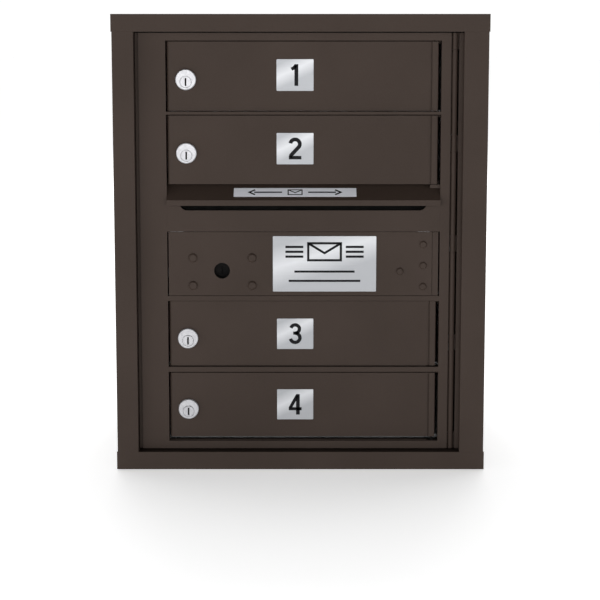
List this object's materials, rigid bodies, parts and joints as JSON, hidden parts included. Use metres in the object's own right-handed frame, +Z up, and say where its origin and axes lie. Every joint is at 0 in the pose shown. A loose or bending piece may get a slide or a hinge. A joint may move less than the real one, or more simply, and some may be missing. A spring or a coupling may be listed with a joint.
{
  "type": "cluster mailbox unit",
  "caption": "Front-loading mailbox cabinet: collar, hinged master door, tenant doors with cam locks, outgoing mail hood and slot, postal lock with latch bar.",
  "frame": {"origin": "centre of the unit's base, on the surface that it stands on", "axes": "+Z up, -Y out of the front, +Y into the wall, +X to the right as seen from the front"},
  "size_m": [0.4554, 0.4318, 0.5588],
  "materials": {
    "bronze_powder_coat": "satin powder coat",
    "mill_aluminium": "mill",
    "label_silver": "satin",
    "lock_satin_chrome": "satin",
    "zinc_steel": "zinc plated",
    "black_oxide_steel": "black oxide",
    "seal_rubber": "matte foam"
  },
  "bodies": {
    "cabinet": {"cabinet_top": "bronze_powder_coat", "cabinet_bottom": "bronze_powder_coat", "cabinet_left_side": "bronze_powder_coat", "cabinet_right_side": "bronze_powder_coat", "cabinet_back": "mill_aluminium", "collar_top_rail": "bronze_powder_coat", "collar_bottom_rail": "bronze_powder_coat", "collar_left_stile": "bronze_powder_coat", "collar_right_stile": "bronze_powder_coat", "left_liner": "mill_aluminium", "right_liner": "mill_aluminium", "compartment_shelves": "mill_aluminium", "weather_seal": "seal_rubber", "latch_keepers": "zinc_steel", "cabinet_rivets": "bronze_powder_coat", "master_hinge_fixed_leaf": "bronze_powder_coat", "master_hinge_pin": "black_oxide_steel"},
    "master_door": {"frame_left_stile": "bronze_powder_coat", "frame_right_stile": "bronze_powder_coat", "frame_rails": "bronze_powder_coat", "master_hinge_moving_leaf": "bronze_powder_coat", "door_hinge_pins": "black_oxide_steel", "outgoing_panel": "bronze_powder_coat", "outgoing_hood": "bronze_powder_coat", "outgoing_label": "label_silver", "lock_panel": "bronze_powder_coat", "panel_straps": "mill_aluminium", "panel_rivets": "bronze_powder_coat", "service_label": "label_silver", "postal_lock_case": "black_oxide_steel", "postal_lock_studs": "bronze_powder_coat", "postal_lock_nuts": "zinc_steel", "latch_guides": "mill_aluminium"},
    "mail_flap": {"mail_flap": "black_oxide_steel"},
    "postal_rotor": {"postal_lock_rotor": "black_oxide_steel"},
    "latch_bar": {"latch_bar": "zinc_steel"},
    "tenant_door_1": {"door_1": "bronze_powder_coat", "number_plate_1": "label_silver", "lock_housing_1": "lock_satin_chrome", "lock_nut_1": "zinc_steel"},
    "tenant_door_2": {"door_2": "bronze_powder_coat", "number_plate_2": "label_silver", "lock_housing_2": "lock_satin_chrome", "lock_nut_2": "zinc_steel"},
    "tenant_door_3": {"door_3": "bronze_powder_coat", "number_plate_3": "label_silver", "lock_housing_3": "lock_satin_chrome", "lock_nut_3": "zinc_steel"},
    "tenant_door_4": {"door_4": "bronze_powder_coat", "number_plate_4": "label_silver", "lock_housing_4": "lock_satin_chrome", "lock_nut_4": "zinc_steel"},
    "tenant_lock_1": {"lock_plug_1": "lock_satin_chrome", "lock_cam_1": "zinc_steel"},
    "tenant_lock_2": {"lock_plug_2": "lock_satin_chrome", "lock_cam_2": "zinc_steel"},
    "tenant_lock_3": {"lock_plug_3": "lock_satin_chrome", "lock_cam_3": "zinc_steel"},
    "tenant_lock_4": {"lock_plug_4": "lock_satin_chrome", "lock_cam_4": "zinc_steel"}
  },
  "joints": [
    {"name": "master_door_hinge", "type": "hinge", "parent": "cabinet", "child": "master_door", "pos_m": [0.1867, -0.2013, 0.28035], "axis": [0, 0, 1], "range_deg": [0, 90]},
    {"name": "tenant_door_1_hinge", "type": "hinge", "parent": "master_door", "child": "tenant_door_1", "pos_m": [0.16315, -0.1991, 0.4859], "axis": [0, 0, 1], "range_deg": [0, 90]},
    {"name": "tenant_door_2_hinge", "type": "hinge", "parent": "master_door", "child": "tenant_door_2", "pos_m": [0.16315, -0.1991, 0.397], "axis": [0, 0, 1], "range_deg": [0, 90]},
    {"name": "tenant_door_3_hinge", "type": "hinge", "parent": "master_door", "child": "tenant_door_3", "pos_m": [0.16315, -0.1991, 0.1686], "axis": [0, 0, 1], "range_deg": [0, 90]},
    {"name": "tenant_door_4_hinge", "type": "hinge", "parent": "master_door", "child": "tenant_door_4", "pos_m": [0.16315, -0.1991, 0.0797], "axis": [0, 0, 1], "range_deg": [0, 90]},
    {"name": "tenant_lock_1_turn", "type": "hinge", "parent": "tenant_door_1", "child": "tenant_lock_1", "pos_m": [-0.1388, -0.2029, 0.4776], "axis": [0, -1, 0], "range_deg": [0, 90]},
    {"name": "tenant_lock_2_turn", "type": "hinge", "parent": "tenant_door_2", "child": "tenant_lock_2", "pos_m": [-0.1388, -0.2029, 0.3887], "axis": [0, -1, 0], "range_deg": [0, 90]},
    {"name": "tenant_lock_3_turn", "type": "hinge", "parent": "tenant_door_3", "child": "tenant_lock_3", "pos_m": [-0.1388, -0.2029, 0.1603], "axis": [0, -1, 0], "range_deg": [0, 90]},
    {"name": "tenant_lock_4_turn", "type": "hinge", "parent": "tenant_door_4", "child": "tenant_lock_4", "pos_m": [-0.1388, -0.2029, 0.0714], "axis": [0, -1, 0], "range_deg": [0, 90]},
    {"name": "mail_flap_swing", "type": "hinge", "parent": "master_door", "child": "mail_flap", "pos_m": [0.00378, -0.1829, 0.3455], "axis": [1, 0, 0], "range_deg": [0, 60]},
    {"name": "postal_lock_turn", "type": "hinge", "parent": "master_door", "child": "postal_rotor", "pos_m": [-0.0962, -0.2049, 0.2474], "axis": [0, -1, 0], "range_deg": [0, 90]},
    {"name": "latch_bar_slide", "type": "slide", "parent": "master_door", "child": "latch_bar", "axis": [0, 0, 1], "range_m": [0, 0.01414]}
  ],
  "couplings": [
    {"joint": "postal_lock_turn", "follows": "latch_bar_slide", "rad_per_m": 111.07}
  ]
}
